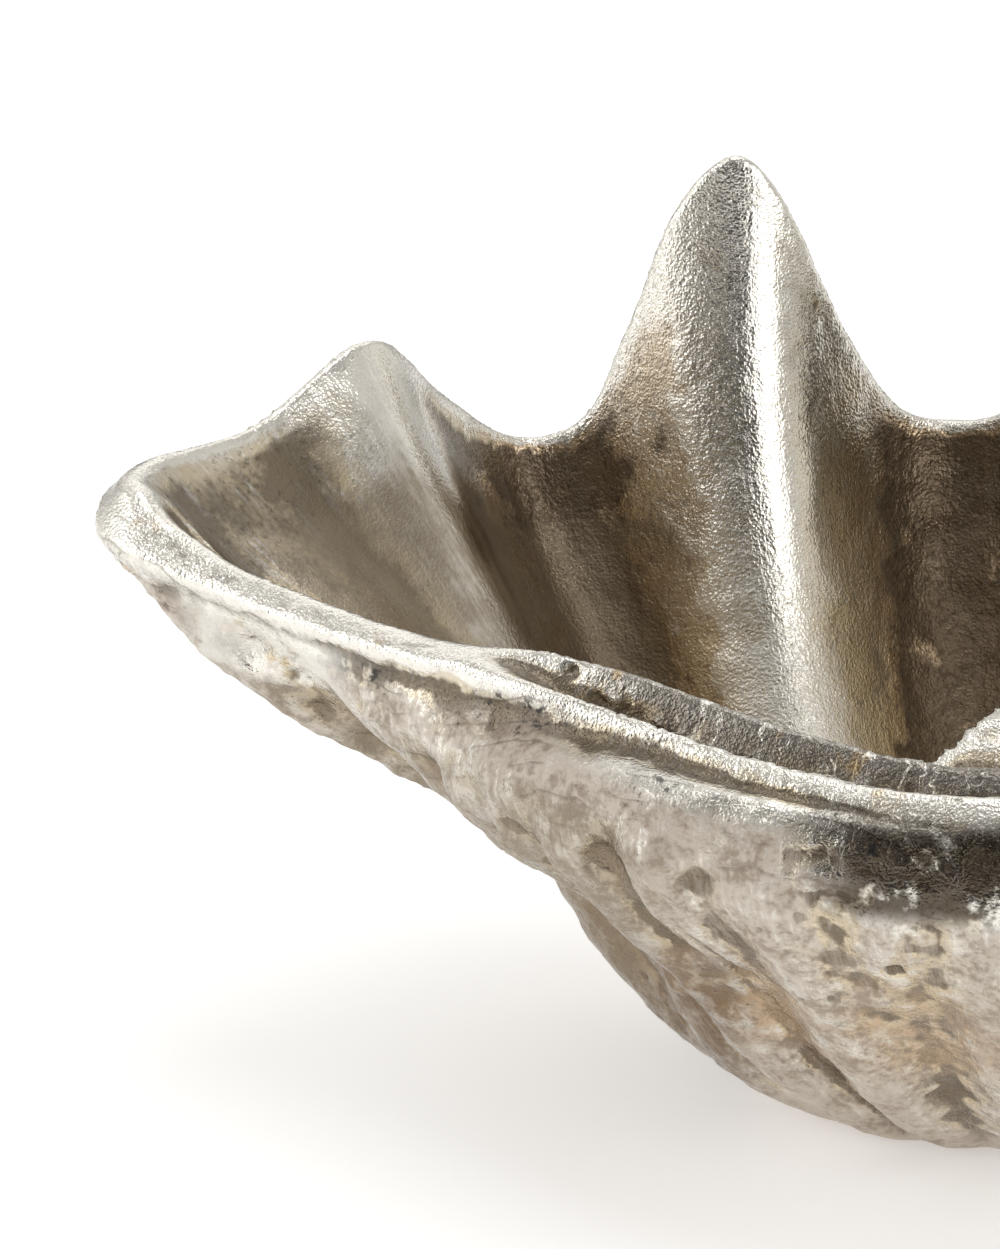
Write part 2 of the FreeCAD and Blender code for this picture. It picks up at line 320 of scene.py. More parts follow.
def plain_copy(source, name):
    """The evaluated object as a plain mesh object, without its modifiers."""
    depsgraph = bpy.context.evaluated_depsgraph_get()
    mesh = bpy.data.meshes.new_from_object(source.evaluated_get(depsgraph))
    mesh.name = name
    made = bpy.data.objects.new(name, mesh)
    bpy.context.collection.objects.link(made)
    return made


def drop(old):
    """Removes an object and its mesh."""
    mesh = old.data
    bpy.data.objects.remove(old)
    bpy.data.meshes.remove(mesh)


rough_copy = plain_copy(casting, "rough_copy")
weld = rough_copy.modifiers.new("weld", "WELD")
weld.merge_threshold = WELD * MM
grid = rough_copy.modifiers.new("grid", "REMESH")
grid.mode = "VOXEL"
grid.voxel_size = VOXEL * MM
wrap = rough_copy.modifiers.new("wrap", "SHRINKWRAP")
wrap.target = casting
wrap.wrap_method = "NEAREST_SURFACEPOINT"
blank = plain_copy(rough_copy, "blank")
drop(rough_copy)
print("even mesh:", len(blank.data.vertices), "points")

# %% [markdown]
# ## Where each point lies on the shell
#
# A shell grows at its margin, so its marks follow the margin: layers run parallel
# to it and ribs run away from it. Each point of the mesh is told how far it is from
# the margin line, how far out and up from it, and whether it faces the bowl. These
# numbers are kept as attributes, which both the relief and the finish read.

# %% Draw the margin line
MARGIN = [
    (-5, -150, 148), (-34, -145, 148), (-75, -130, 153), (-112, -111, 160), (-142, -97, 164),
    (-172, -83, 163.5), (-205, -62, 166), (-242, -36, 171.5), (-274, -12, 183), (-270, 12, 190),
    (-240, 56, 191), (-208, 92, 210), (-189, 122, 186), (-167, 148, 164), (-143, 152, 169),
    (-126, 146, 207), (-112, 140, 244), (-94, 138, 261), (-79, 142, 244), (-61, 156, 200),
    (-44, 176, 169), (-26, 184, 162), (-6, 178, 168), (12, 160, 204), (27, 148, 246),
    (42, 145, 262), (57, 146, 246), (76, 154, 205), (94, 166, 172), (112, 166, 167),
    (130, 148, 188), (144, 128, 220), (157, 115, 236), (174, 110, 222), (192, 108, 188),
    (211, 98, 171), (227, 76, 180), (240, 50, 199), (254, 24, 192), (262, -8, 184),
    (240, -38, 174), (206, -64, 168), (166, -90, 166), (120, -116, 160), (76, -136, 153),
    (32, -149, 148),
]
MARGIN_SHIFT = (6.3, -6.0, -0.5)  # from the table's origin to the model's
BELLY = (8.0, -24.0, 0.0)  # the middle that ribs and streaks run to
STEPS = 10


def smooth_loop(points, steps):
    """A closed smooth curve through the points, with so many steps between two of them."""
    keys = np.array(points, float)
    before, after, beyond = np.roll(keys, 1, 0), np.roll(keys, -1, 0), np.roll(keys, -2, 0)
    rows = []
    for share in np.arange(steps) / steps:
        rows.append(0.5 * (
            2 * keys + (after - before) * share
            + (2 * before - 5 * keys + 4 * after - beyond) * share**2
            + (3 * keys - before - 3 * after + beyond) * share**3
        ))
    return np.stack(rows, 1).reshape(-1, 3)


lip_line = (smooth_loop(MARGIN, STEPS) + MARGIN_SHIFT) * MM
lip_tangent = np.roll(lip_line, -1, 0) - np.roll(lip_line, 1, 0)
lip_outward = np.stack([lip_tangent[:, 1], -lip_tangent[:, 0], np.zeros(len(lip_line))], 1)
lip_outward /= np.linalg.norm(lip_outward, axis=1)[:, None]
belly = np.array(BELLY) * MM
points_inward = ((lip_line - belly) * lip_outward).sum(1) < 0
if points_inward.mean() > 0.5:
    lip_outward = -lip_outward
lip_length = np.linalg.norm(np.roll(lip_line, -1, 0) - lip_line, axis=1).sum()
print("margin length, mm:", round(lip_length / MM))

# %% [markdown]
# Working on each of the many points in turn would be slow, so a mesh is read
# into arrays and worked on all at once. Softening averages each point with its
# neighbours, which turns a hard mask into a gradual one.

# %% Read a mesh into arrays
def points_of(mesh):
    flat = np.empty(len(mesh.vertices) * 3)
    mesh.vertices.foreach_get("co", flat)
    return flat.reshape(-1, 3)


def normals_of(mesh):
    flat = np.empty(len(mesh.vertices) * 3, np.float32)
    mesh.vertex_normals.foreach_get("vector", flat)
    return flat.reshape(-1, 3).astype(float)


def edges_of(mesh):
    flat = np.empty(len(mesh.edges) * 2, np.int32)
    mesh.edges.foreach_get("vertices", flat)
    return flat.reshape(-1, 2)


def soften(values, edges, rounds):
    """Averages values with their neighbours' along the edges, so many times."""
    count = len(values)
    columns = values.reshape(count, -1).copy()
    first, second = edges[:, 0], edges[:, 1]
    share = np.bincount(first, minlength=count) + np.bincount(second, minlength=count) + 1e-9
    for _ in range(rounds):
        for k in range(columns.shape[1]):
            column = columns[:, k]
            total = np.bincount(first, column[second], count) + np.bincount(second, column[first], count)
            columns[:, k] = 0.5 * column + 0.5 * total / share
    return columns.reshape(values.shape)


def keep(mesh, name, values):
    """Stores one number for each point."""
    layer = mesh.attributes.get(name) or mesh.attributes.new(name, "FLOAT", "POINT")
    layer.data.foreach_set("value", values.astype(np.float32))


print("points of the even mesh:", points_of(blank.data).shape)

# %% [markdown]
# Now the margin line and the belly's middle give each point its numbers. The gullies
# are the hollows between the lobes, found by their bearing from the belly, and they
# fade out on the way to the bowl's floor.

# %% Measure a mesh against the margin
GULLIES = [(-142, 146, 9.0), (-22, 178, 9.5), (118, 160, 9.0), (215, 92, 6.0)]  # x, y, degrees
GULLY_FADE = (35, 70)  # millimetres from the belly where a gully starts, and over how many
HEART = (0.0, 10.0, 175.0)  # above the belly, in the middle of the bowl's mouth
AT_ONCE = 20000


def measure(mesh):
    """Writes each point's numbers as attributes."""
    points, normals, edges = points_of(mesh), normals_of(mesh), edges_of(mesh)
    nearest = np.empty(len(points), np.int64)
    for start in range(0, len(points), AT_ONCE):
        part = points[start:start + AT_ONCE]
        gaps = (part**2).sum(1)[:, None] - 2 * part @ lip_line.T + (lip_line**2).sum(1)[None, :]
        nearest[start:start + AT_ONCE] = gaps.argmin(1)
    away = points - lip_line[nearest]
    out = (away * lip_outward[nearest]).sum(1)
    heart = belly + np.array(HEART) * MM
    faces_in = (normals * (heart - points)).sum(1) > 0
    keep(mesh, "from_lip", np.linalg.norm(away, axis=1) / MM)
    keep(mesh, "lip_out", out / MM)
    keep(mesh, "lip_up", away[:, 2] / MM)
    keep(mesh, "along_lip", nearest / len(lip_line) * lip_length / MM)
    keep(mesh, "inside", soften(faces_in.astype(float), edges, 6))
    bearing = np.degrees(np.arctan2(points[:, 1] - belly[1], points[:, 0] - belly[0]))
    keep(mesh, "bearing", bearing)
    gully = np.zeros(len(points))
    for x, y, spread in GULLIES:
        middle = math.degrees(math.atan2(y * MM - belly[1], x * MM - belly[0]))
        gully = np.maximum(gully, np.exp(-(((bearing - middle + 180) % 360 - 180) / spread) ** 2))
    reach = np.hypot(points[:, 0] - belly[0], points[:, 1] - belly[1]) / MM
    start, length = GULLY_FADE
    keep(mesh, "gully", gully * np.clip((reach - start) / length, 0, 1))
    return points, normals, edges


measure(blank.data)
numbers = [layer.name for layer in blank.data.attributes if layer.data_type == "FLOAT"]
print("numbers on each point:", numbers)

# %% [markdown]
# Some marks are this shell's own and follow no rule: a worm's knob and two borings
# in the belly, bulges where scales were cast over, the gaps between them, and chips
# under the wing. Each is a soft push in or out at one place, so a short list of
# places, radii and heights, in millimetres, is the plainest way to make them.

# %% Press in the marks that follow no rule
OWN_MARKS = [
    (-54, -171, 122, 3.6, 3.2), (-60, -168, 112, 5.0, 1.2), (-30, -161, 91, 2.6, -4.0),
    (-73, -125, 77, 2.8, -4.0), (-151, -110, 124, 11, 2.5), (-131, -130, 121, 10, 2.5),
    (-101, -156, 120, 10, 2.5), (-73, -163, 114, 13, 2.5), (-167, -93, 127, 6, -3.5),
    (-142, -118, 122, 5, -3.0), (-114, -141, 117, 6, -3.5), (-87, -159, 118, 5, -3.0),
    (-226, -44, 148, 6, -3.5), (-205, -42, 128, 5, -2.5), (-190, -40, 118, 6, -3.0),
    (-244, -35, 152, 4, -2.5), (-125, -104, 163, 2.2, -2.5), (-24, 171, 142, 13, 1.3),
    (-10, 168, 118, 12, 1.1), (-23, 150, 92, 12, 1.0), (190, -70, 132, 7, -3.0),
    (150, -104, 118, 8, 2.5), (60, 120, 60, 3.0, -2.5), (-40, 110, 40, 3.0, -2.5),
]


def press(mesh, marks):
    """Moves the points near each mark in or out, less with distance."""
    points, normals = points_of(mesh), normals_of(mesh)
    for x, y, z, radius, height in marks:
        gap = ((points - np.array([x, y, z]) * MM) ** 2).sum(1)
        points += normals * (height * MM * np.exp(-gap / (radius * MM) ** 2))[:, None]
    mesh.vertices.foreach_set("co", points.ravel())
    mesh.update()


press(blank.data, OWN_MARKS)
print("own marks:", len(OWN_MARKS))

# %% [markdown]
# ## The relief
#
# The master was a real shell, so the casting carries its marks: thin growth layers
# that end in flaky steps along the hinge, scallops broken by lumps, small pits, and
# drips down the wall of the hinge's groove. A rule that follows the margin makes
# all of them, so they come from one Geometry Nodes tree that pushes each point
# along its normal. The tree's inputs name each mark's size and depth.

# %% Name the relief's sizes and open its tree
# each crease's bearing from the belly, in degrees, and its share of the depth
CREASES = [(-153.0, 0.35), (-130.0, 1.0), (-104.0, 0.3), (-74.0, 0.3), (-42.0, 0.4), (-22.0, 0.3)]
# millimetres, but for the seed
RELIEF_SIZES = {
    "growth_step": 6.5,
    "growth_depth": 1.2,
    "lump_size": 18.0,
    "lump_depth": 4.6,
    "knob_size": 7.5,
    "knob_depth": 2.0,
    "pit_size": 8.5,
    "pit_depth": 1.5,
    "drip_size": 4.5,
    "drip_depth": 1.3,
    "ripple_depth": 0.9,
    "dimple_depth": 0.4,
    "crease_depth": 1.6,
    "seed": 3.0,
}
relief = bpy.data.node_groups.new("casting_relief", "GeometryNodeTree")
relief.interface.new_socket("Geometry", in_out="INPUT", socket_type="NodeSocketGeometry")
for name in RELIEF_SIZES:
    relief.interface.new_socket(name, in_out="INPUT", socket_type="NodeSocketFloat")
relief.interface.new_socket("finish", in_out="INPUT", socket_type="NodeSocketMaterial")
relief.interface.new_socket("Geometry", in_out="OUTPUT", socket_type="NodeSocketGeometry")
print("relief inputs:", len(RELIEF_SIZES))

# %% [markdown]
# The tree first reads where each point is: its place, its normal, and the numbers
# that the measuring left on it. Masks from them say which mark may appear where.

# %% Read the shell's numbers in the tree
SEAT_EDGE = (3.3 * MM, 9.0 * MM)  # the ground seat stays flat below this height
HINGE_EDGE = (-30 * MM, 10 * MM)  # the hinge is in front of this depth

carve = Board(relief)
given = carve.node("NodeGroupInput")
wanted = {socket.name: Wire(carve, socket) for socket in given.outputs if socket.name}
place = carve.add("GeometryNodeInputPosition")
normal = carve.add("GeometryNodeInputNormal", output="Normal")


def field(name):
    return carve.add(
        "GeometryNodeInputNamedAttribute", {"data_type": "FLOAT"}, output="Attribute", Name=name,
    )


def grain(size, detail=2.0, rough=0.5, offset=0.0):
    """Noise from -1 to 1 with blobs of this size in millimetres, which may be an input."""
    found = carve.add(
        "ShaderNodeTexNoise", {"noise_dimensions": "4D"}, output="Fac",
        Vector=place, W=wanted["seed"] + offset, Scale=1000.0 / size, Detail=detail, Roughness=rough,
    )
    return (found - 0.5) * 2.4


inside, from_lip, lip_up = field("inside"), field("from_lip"), field("lip_up")
lip_out, along, bearing = field("lip_out"), field("along_lip"), field("bearing")
outside = 1 - inside
across = carve.add("ShaderNodeSeparateXYZ", output="Y", Vector=place)
level = carve.add("ShaderNodeSeparateXYZ", output="Z", Vector=place)
hinge_side = fade(carve, across, *HINGE_EDGE)
off_seat = step(carve, level, *SEAT_EDGE)
below_lip = step(carve, -lip_up, 5.0, 18.0)
print("nodes for reading:", len(relief.nodes))

# %% [markdown]
# A growth layer rises slowly and ends in a step, so it is a saw-tooth of the distance
# from the margin. Noise shifts it, or the steps would look turned on a lathe.

# %% Lay the growth layers
wander = grain(26.0, offset=5.0) * 0.9
saw = carve.add(
    "ShaderNodeMath", {"operation": "FRACT"}, Value=from_lip / wanted["growth_step"] + wander,
)
layer_patches = 0.25 + 0.75 * step(carve, grain(17.0, offset=8.0), -0.2, 0.5)
layer_reach = step(carve, -from_lip, -95.0, -12.0) * layer_patches
hinge_top = hinge_side * fade(carve, from_lip, 9.0, 15.0) * 0.8
layered = carve.add(
    "ShaderNodeMath", {"operation": "MAXIMUM"}, Value=outside, Value_001=hinge_top,
)
layers = (saw ** 2.0 - 0.5) * wanted["growth_depth"] * layer_reach * layered
print("nodes with the growth layers:", len(relief.nodes))

# %% [markdown]
# The outside is broken by lumps, knobs and patches of pits, and a crease runs along
# the bottom of some furrows. All of them fade out toward the lip's top.

# %% Break up the outside
lumps = grain(wanted["lump_size"], 3.0, 0.5, 1.0) * wanted["lump_depth"] * 0.5
lumps = lumps * outside * below_lip
knobs = grain(wanted["knob_size"], 2.0, 0.5, 2.0) * wanted["knob_depth"] * 0.5
knobs = knobs * outside * (0.25 + 0.75 * below_lip)
cells = carve.add(
    "ShaderNodeTexVoronoi", {"voronoi_dimensions": "3D"}, output="Distance",
    Vector=place, Scale=1000.0 / wanted["pit_size"],
)
pit_patches = step(carve, grain(38.0, offset=4.0), -0.1, 0.5)
pits = -fade(carve, cells, 0.05, 0.34) * wanted["pit_depth"] * pit_patches
pits = pits * outside * (0.3 + 0.7 * below_lip)
crease = 0.0
for middle, share in CREASES:
    bend = bearing + grain(34.0, 2.0, 0.5, 9.0) * 4.0 - middle
    crease = fade(carve, bend * bend, 0.0, 2.6) * share + crease
creases = -crease * wanted["crease_depth"] * outside * step(carve, from_lip, 34.0, 60.0)
print("nodes with the outside:", len(relief.nodes))

# %% [markdown]
# Drips run down the wall of the hinge's groove, the bowl has gentle ripples, and the
# hollows between the lobes are crumpled. The whole skin is faintly dimpled.

# %% Add drips, ripples and dimples
groove_face = band(carve, lip_out, -9.0, 2.0, 3.0) * hinge_side * step(carve, -lip_up, 1.0, 5.0)
streak = carve.add(
    "ShaderNodeTexNoise", {"noise_dimensions": "2D"}, output="Fac",
    Vector=carve.add("ShaderNodeCombineXYZ", X=along / wanted["drip_size"], Y=lip_up * 0.05),
    Scale=1.0, Detail=2.0,
)
drips = (streak - 0.5) * 2.0 * wanted["drip_depth"] * groove_face * fade(carve, from_lip, 20.0, 32.0)
ripples = grain(34.0, 2.0, 0.5, 6.0) * wanted["ripple_depth"] * 0.6
ripples = ripples * inside * step(carve, from_lip, 4.0, 20.0)
crumples = grain(13.0, 2.0, 0.5, 10.0) * 1.1
crumples = crumples * inside * field("gully") * step(carve, from_lip, 8.0, 24.0)
dimples = grain(6.5, 2.0, 0.6, 7.0) * wanted["dimple_depth"] * 0.5
print("nodes with the inside:", len(relief.nodes))

# %% [markdown]
# The sum pushes each point along its normal. A quarter of a millimetre is taken off
# everywhere, so that the relief is carved more than it is heaped up.

# %% Push the points and finish the tree
CARVED_OFF = 0.25  # millimetres

rise = layers + lumps + knobs + pits + creases + drips + ripples + crumples + dimples
rise = (rise - CARVED_OFF) * off_seat * MM
offset = carve.add("ShaderNodeVectorMath", {"operation": "SCALE"}, Vector=normal, Scale=rise)
pushed = carve.add("GeometryNodeSetPosition", Geometry=wanted["Geometry"], Offset=offset)
realized = carve.add("GeometryNodeRealizeInstances", Geometry=pushed)
covered = carve.add("GeometryNodeSetMaterial", Geometry=realized, Material=wanted["finish"])
carve.node("NodeGroupOutput", Geometry=covered)
print("relief nodes:", len(relief.nodes))

# %% [markdown]
# The tree is a modifier on the even mesh. Its result is made a plain mesh again, so
# that nothing is left to work out when the shell is used.

# %% Grow the relief on the blank
def set_input(modifier, tree, name, value):
    """Sets a modifier's input by its socket's identifier."""
    for item in tree.interface.items_tree:
        if item.item_type == "SOCKET" and item.in_out == "INPUT" and item.name == name:
            modifier[item.identifier] = value


leaf = bpy.data.materials.new("silver_leaf")
leaf.use_nodes = True
grow = blank.modifiers.new("relief", "NODES")
grow.node_group = relief
for name, value in RELIEF_SIZES.items():
    set_input(grow, relief, name, value)
set_input(grow, relief, "finish", leaf)
carved = plain_copy(blank, "carved")
drop(blank)
print("carved mesh:", len(carved.data.polygons), "faces")

# %% [markdown]
# The even grid has more faces than a reusable part should carry. Collapsing the
# flattest ones keeps the small steps and pits and halves the count. The points are
# then held inside the CAD's box, because a finish never makes the casting bigger.

# %% Thin the mesh and hold it inside the box
FACE_LIMIT = 190000
triangles = sum(len(polygon.vertices) - 2 for polygon in carved.data.polygons)
thin = carved.modifiers.new("thin", "DECIMATE")
thin.ratio = min(1.0, FACE_LIMIT / triangles)
shell = plain_copy(carved, "leafed_shell")
drop(carved)
box_low, box_high = (np.array(corner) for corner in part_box("shell_casting"))
held = np.clip(points_of(shell.data), box_low, box_high)
shell.data.vertices.foreach_set("co", held.ravel())
shell.data.update()
shell.data.polygons.foreach_set("use_smooth", [True] * len(shell.data.polygons))
print("triangles:", triangles, "to", len(shell.data.polygons))

# %% [markdown]
# Rubbing and toning leave their own map: the cloth takes the brown wash off the
# crests and leaves it in the hollows. How hollow a spot is comes from comparing
# each point with the average of its neighbours, once over a wide reach for the
# ribs and once over a narrow one for the pits.

# %% Measure crests and hollows
HOLLOWS = [("hollow", 90, 2.2), ("pit", 8, 0.22)]  # name, rounds of averaging, depth in millimetres

points, normals, edges = measure(shell.data)
for name, rounds, spread in HOLLOWS:
    average = soften(points, edges, rounds)
    sunk = ((average - points) * normals).sum(1) / MM
    sunk = soften(sunk, edges, 2)
    keep(shell.data, name, np.clip(sunk / spread, -1.5, 1.5))
    print(name, "mm, 5 to 95%:", np.round(np.percentile(sunk, [5, 50, 95]), 2))

# %% [markdown]
# ## Silver leaf
#
# The leaf is real metal laid over a warm size and then aged. It is made as one
# metallic material whose colour goes from bronze brown in the hollows over
# champagne to nearly white silver on the rubbed crests. On the lower outside the
# leaf is rubbed thin and shows chalky. Dark specks, ochre stains and a pebbled
# foil bump give it its age.

# %% Name the leaf's colours and zones
SILVER, GREY, CHAMPAGNE, GOLD = shade("efebe2"), shade("d4cfc4"), shade("d6c6a9"), shade("e6cf9e")
BRONZE, TARNISH_AND_DARK_REFLECTION, UMBER, DARK_REFLECTION = shade("cbb193"), shade("524a3c"), shade("403223"), shade("26282a")
CHALK, DUST, OCHRE = shade("c0b3a4"), shade("826d55"), shade("b9954f")
CLAY, EARTH = shade("7d6750"), shade("93846f")

# heights where one finish turns into another; SWELL holds a painted dark reflection
FOOT, FLANK, SWELL = (36 * MM, 56 * MM), (62 * MM, 100 * MM), (112 * MM, 141 * MM)
BOWL_FLOOR, BOWL_WALL = (70 * MM, 150 * MM), (90 * MM, 150 * MM)
# distances to the left of the middle, and the depth where the front ends
BROWN_SIDE, BULGES, WING = (60 * MM, 84 * MM), (92 * MM, 112 * MM), (196 * MM, 245 * MM)
FRONT = (-30 * MM, 15 * MM)
# squares of the distance from the middle, in square metres
SWELL_REACH, GROOVE_REACH = (0.0014, 0.0036), (0.0095, 0.0175)
print("zones in height, mm:", [round(edge / MM) for zone in (FOOT, FLANK, SWELL) for edge in zone])

# %% [markdown]
# The material reads the same numbers as the relief, and the crests and hollows just
# measured.

# %% Read the shell's marks in the material
leaf.node_tree.nodes.clear()
gild = Board(leaf.node_tree)
spot = gild.add("ShaderNodeTexCoord", output="Object")


def mark(name):
    return gild.add(
        "ShaderNodeAttribute", {"attribute_type": "GEOMETRY", "attribute_name": name}, output="Fac",
    )


bowl, hollow, pit, gully = mark("inside"), mark("hollow"), mark("pit"), mark("gully")
lip_gap, lip_rise = mark("from_lip"), mark("lip_up")
lip_side, lip_run = mark("lip_out"), mark("along_lip")
side_x, side_y, side_z = (gild.add("ShaderNodeSeparateXYZ", output=axis, Vector=spot) for axis in "XYZ")
off_middle = side_x * side_x
front = fade(gild, side_y, *FRONT)
shell_outside = 1 - bowl
print("nodes for reading:", len(gild.tree.nodes))

# %% [markdown]
# Brush strokes and toning ran from the rim down to the belly. To stretch a noise
# that way, each point's direction from the belly is laid on a circle, and height
# and distance count only a tenth, so the blobs become long streaks.

# %% Lay out clouds, grains and streaks
def arrow(operation, output="Vector", **inputs):
    return gild.add("ShaderNodeVectorMath", {"operation": operation}, output=output, **inputs)


radial = arrow("MULTIPLY", Vector=spot, Vector_001=(1.0, 1.0, 0.0))
radial = arrow("SUBTRACT", Vector=radial, Vector_001=tuple(belly))
reach = arrow("LENGTH", "Value", Vector=radial)
circle = arrow("SCALE", Vector=arrow("NORMALIZE", Vector=radial), Scale=0.2)
fall = gild.add("ShaderNodeCombineXYZ", Z=(reach + side_z) * 0.1)
strokes = arrow("ADD", Vector=circle, Vector_001=fall)

wide = cloud(gild, spot, 60.0, 4.0, 0.55, 1.0)
patch = cloud(gild, spot, 18.0, 4.0, 0.6, 2.0)
blot = cloud(gild, spot, 7.0, 3.0, 0.6, 5.0)
fine = cloud(gild, spot, 2.6, 3.0, 0.65, 3.0)
dust = cloud(gild, spot, 0.9, 2.0, 0.6, 4.0)
streaks = cloud(gild, strokes, 2.0, 3.0, 0.6, 7.0)
long_streaks = cloud(gild, strokes, 9.0, 2.0, 0.5, 8.0)
print("nodes with the clouds:", len(gild.tree.nodes))

# %% [markdown]
# Now the colours are laid one over another, mostly as they were on the real thing: silver
# where it was rubbed, bronze wash where it settled, then chalk, stains and dark specks.
# Among them is painted light: a gold highlight, a silver highlight and two dark reflections.

# %% Colour the leaf
class Coat:
    """The colour so far, with tones laid over it."""

    def __init__(self, first):
        self.colour = first

    def lay(self, share, tone):
        """Lays a tone on, as thick as its share."""
        self.colour = mix(gild, share, self.colour, tone)


crest = step(gild, -hollow * 0.7 + (patch - 0.5) * 1.5 + (wide - 0.5) * 1.2, -0.5, 0.7)
coat = Coat(mix(gild, crest, CHAMPAGNE, GREY))
coat.lay(step(gild, streaks + (patch - 0.5) * 0.5, 0.5, 0.66) * 0.7, SILVER)
gully_cloud = 0.9 + (long_streaks - 0.5) * 1.4 + (patch - 0.5) * 0.9
gully_wash = step(gild, gully * gully_cloud, 0.25, 0.75)
deep = bowl * gully_wash * (0.45 + 0.55 * step(gild, hollow, -0.2, 0.6))
# Painted highlight, partly a real gold tone: bright gold laid in patches low in the bowl stands for the
# warm highlight on the lower lobe faces.
gold_tone_and_highlight = bowl * fade(gild, side_z, *BOWL_WALL) * step(gild, patch * 0.6 + streaks * 0.4, 0.4, 0.6)
coat.lay(gold_tone_and_highlight * 0.5, GOLD)
coat.lay(deep * 0.75, BRONZE)
coat.lay(bowl * step(gild, gully * (0.9 + streaks * 0.3), 0.8, 1.1) * 0.12, UMBER)
furrow_wash = shell_outside * step(gild, hollow * 0.7 + (patch - 0.5) * 2.2, 0.1, 1.0)
coat.lay(furrow_wash * 0.5, BRONZE)
flecks = step(gild, fine + (dust - 0.5) * 0.7 + (patch - 0.5) * 0.35 + deep * 0.06, 0.56, 0.68)
coat.lay(flecks * (0.38 + 0.08 * deep), TARNISH_AND_DARK_REFLECTION)
in_pits = step(gild, pit + (fine - 0.5) * 0.8, 0.2, 1.0)
coat.lay(in_pits * 0.75, UMBER)
worn = step(gild, -pit + (fine - 0.5) * 0.6, 0.35, 0.9)
coat.lay(worn * 0.75, SILVER)
print("nodes with the leaf:", len(gild.tree.nodes))

# %% [markdown]
# Below the lip the leaf is rubbed thin over a white ground, so it turns chalky, with
# brown dust caught in its grain. Chalk is not metal: this mask later lowers the
# metallic value as well as changing the colour.

# %% Rub the lower outside chalky and paint the belly's dark reflection
lower = shell_outside * step(gild, -lip_rise, 10.0, 17.0)
foot = fade(gild, side_z, *FOOT)
flank = step(gild, side_z, *FLANK)
# The swell is the front of the belly, where umber paints a dark reflection and the chalk is kept thin.
swell = front * band(gild, side_z, *SWELL, 5 * MM) * fade(gild, off_middle, *SWELL_REACH)
brown_side = step(gild, -side_x, *BROWN_SIDE) * (1 - flank)
bulges = step(gild, -side_x, *BULGES) * step(gild, -lip_rise, 22.0, 30.0)
cover = patch * 0.7 + (wide - 0.5) * 0.8 + (blot - 0.5) * 0.6 + (fine - 0.5) * 0.45
cover = cover + (streaks - 0.5) * 0.7 + flank * 0.2 + foot * 0.15
cover = cover - brown_side * 0.35 - bulges * 0.22 - hollow * 0.16 - swell * 0.5
chalky = lower * step(gild, cover, 0.34, 0.72)
belly_wash = lower * (1 - flank) * (1 - foot)
coat.lay(belly_wash * step(gild, blot + (wide - 0.5) * 0.8, 0.34, 0.6) * 0.8, BRONZE)
coat.lay(lower * brown_side * (0.5 + 0.4 * step(gild, blot, 0.4, 0.6)), CLAY)
coat.lay(chalky * 0.85, CHALK)
dusty = step(gild, fine * 0.7 + blot * 0.5 + (patch - 0.5) * 0.7, 0.56, 0.78) * lower
coat.lay(dusty * 0.6, DUST)
coat.lay(bulges * (0.45 + 0.4 * step(gild, patch * 0.6 + streaks * 0.4, 0.4, 0.62)), EARTH)
# Painted dark reflection: streaky umber across the belly's front stands for the dark room reflected
# there.
painted_belly_reflection = swell * shell_outside * step(gild, blot + (patch - 0.5) * 0.6, 0.3, 0.46)
coat.lay(painted_belly_reflection * 0.9 * (1 - chalky * 0.6), UMBER)
print("nodes with the outside:", len(gild.tree.nodes))

# %% [markdown]
# The hinge has its own marks. The wall behind the groove holds the most brown wash,
# with bright drips running down it. Under the outer lip a painted dark reflection,
# broken into grains and specks, follows the hinge.

# %% Tone the hinge and paint a dark reflection under its lip
groove_wall = front * band(gild, lip_side, -7.5, 4.0, 1.5) * fade(gild, lip_rise, 2.0, 5.5)
groove_wall = groove_wall * fade(gild, off_middle, *GROOVE_REACH) * fade(gild, lip_gap, 19.0, 26.0)
drip_noise = gild.add(
    "ShaderNodeTexNoise", {"noise_dimensions": "2D"}, output="Fac",
    Vector=gild.add("ShaderNodeCombineXYZ", X=lip_run / 2.6, Y=lip_rise * 0.035), Scale=1.0, Detail=2.0,
)
drip_lines = step(gild, drip_noise + (dust - 0.5) * 0.3, 0.6, 0.72)
coat.lay(groove_wall * (0.75 - drip_lines * 0.65), UMBER)
# Painted dark reflection: grains and dark specks darken a band under the outer lip, where the room in
# front is reflected.
under_lip = front * shell_outside * band(gild, lip_rise, -19.0, -6.5, 2.5)
grainy = step(gild, patch * 0.9 + (wide - 0.5) * 0.7 + (fine - 0.5) * 0.7, 0.34, 0.5)
coat.lay(under_lip * grainy * (1 - chalky) * 0.3, TARNISH_AND_DARK_REFLECTION)
painted_reflection_specks = under_lip * step(gild, fine + (patch - 0.5) * 0.9, 0.66, 0.74)
coat.lay(painted_reflection_specks * 0.8, DARK_REFLECTION)
print("nodes with the hinge:", len(gild.tree.nodes))

# %% [markdown]
# Last come the marks of age, brown cracks along the growth layers and ochre varnish
# settled on the lip's top, and a painted highlight of bright silver on the wing's
# underside. The cracks use the relief's own noise, size and seed, so they fall on its steps.

# %% Age the rim and paint the wing's highlight
wander = (cloud(gild, spot, 26.0, 2.0, 0.5, RELIEF_SIZES["seed"] + 5.0) - 0.5) * 2.16
layer = gild.add(
    "ShaderNodeMath", {"operation": "FRACT"}, Value=lip_gap / RELIEF_SIZES["growth_step"] + wander,
)
crack = fade(gild, layer, 0.02, 0.16) * fade(gild, lip_gap, 26.0, 60.0) * step(gild, patch, 0.42, 0.6)
coat.lay(crack * (0.3 * front + 0.15 * shell_outside), UMBER)
